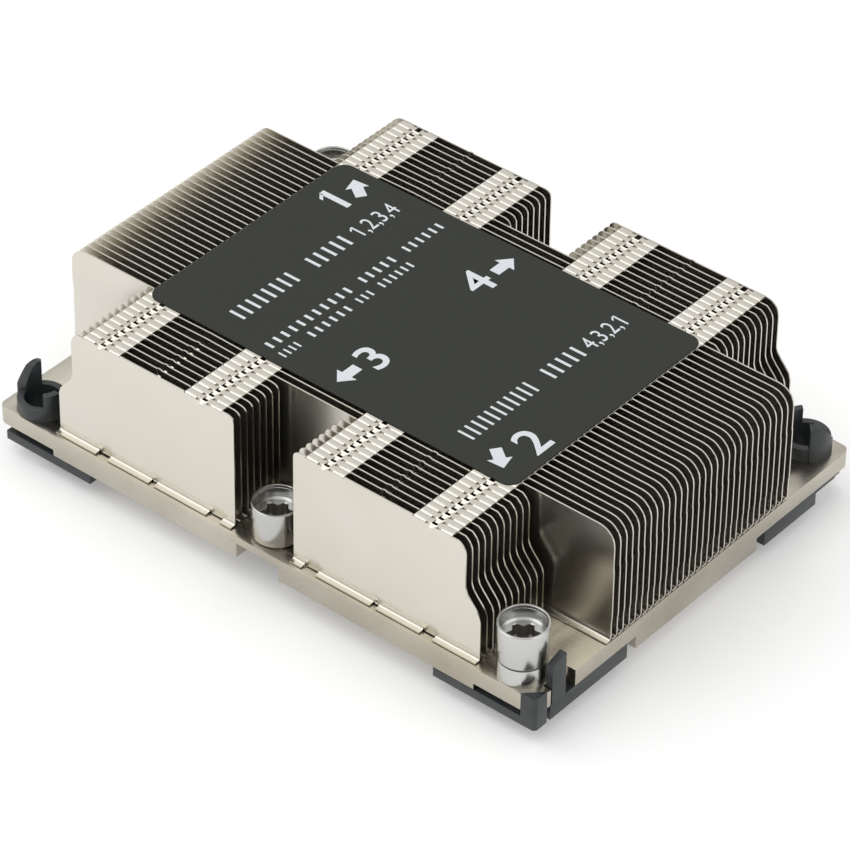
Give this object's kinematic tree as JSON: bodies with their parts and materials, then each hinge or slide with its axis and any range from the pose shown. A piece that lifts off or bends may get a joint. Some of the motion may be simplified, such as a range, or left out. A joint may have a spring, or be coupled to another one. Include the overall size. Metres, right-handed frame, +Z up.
{
  "type": "passive server cpu heatsink",
  "caption": "Low passive heatsink for a server processor: folded fins on a plated base plate, captive nuts at its edges, and a plastic processor clip below.",
  "frame": {"origin": "centre of the footprint, in the plane on which the processor clip stands", "axes": "+X along the fins and the long side, +Y across the fins from the front edge to the back edge, +Z up from the base plate to the fin tops"},
  "size_m": [0.108, 0.078, 0.0297],
  "materials": {
    "base": "nickel-plated, satin",
    "fins": "plated sheet, satin",
    "label": "printed film, matte",
    "nuts": "turned, satin",
    "collars": "turned, satin",
    "rings": "turned",
    "clip": "moulded, semi-gloss"
  },
  "bodies": {
    "heatsink": {"base_plate": "base", "long_fin_01": "fins", "long_fin_02": "fins", "long_fin_03": "fins", "long_fin_04": "fins", "long_fin_05": "fins", "long_fin_06": "fins", "long_fin_07": "fins", "long_fin_08": "fins", "long_fin_09": "fins", "long_fin_10": "fins", "long_fin_11": "fins", "long_fin_12": "fins", "long_fin_13": "fins", "long_fin_14": "fins", "long_fin_15": "fins", "long_fin_16": "fins", "long_fin_17": "fins", "long_fin_18": "fins", "long_fin_19": "fins", "long_fin_20": "fins", "long_fin_21": "fins", "long_fin_22": "fins", "long_fin_23": "fins", "long_fin_24": "fins", "long_fin_25": "fins", "long_fin_26": "fins", "long_fin_27": "fins", "long_fin_28": "fins", "long_fin_29": "fins", "long_fin_30": "fins", "long_fin_31": "fins", "medium_fin_01": "fins", "medium_fin_02": "fins", "medium_fin_03": "fins", "medium_fin_04": "fins", "medium_fin_05": "fins", "medium_fin_06": "fins", "front_left_fin_pack": "fins", "front_right_fin_pack": "fins", "back_left_fin_pack": "fins", "back_right_fin_pack": "fins", "top_label": "label", "collar_1": "collars", "collar_2": "collars", "processor_clip": "clip"},
    "nut_1_turning": {"nut_1": "nuts", "retaining_ring_1": "rings"},
    "nut_2_turning": {"nut_2": "nuts", "retaining_ring_2": "rings"},
    "nut_3_turning": {"nut_3": "nuts", "retaining_ring_3": "rings"},
    "nut_4_turning": {"nut_4": "nuts", "retaining_ring_4": "rings"}
  },
  "joints": [
    {"name": "nut_1_turn", "type": "hinge", "parent": "heatsink", "child": "nut_1_turning", "pos_m": [-0.0482, 0.0349, 0.0084], "axis": [0, 0, 1], "continuous": true},
    {"name": "nut_2_turn", "type": "hinge", "parent": "heatsink", "child": "nut_2_turning", "pos_m": [0.0482, -0.0349, 0.0084], "axis": [0, 0, 1], "continuous": true},
    {"name": "nut_3_turn", "type": "hinge", "parent": "heatsink", "child": "nut_3_turning", "pos_m": [0, -0.0343, 0.0084], "axis": [0, 0, 1], "continuous": true},
    {"name": "nut_4_turn", "type": "hinge", "parent": "heatsink", "child": "nut_4_turning", "pos_m": [0, 0.0343, 0.0084], "axis": [0, 0, 1], "continuous": true}
  ]
}
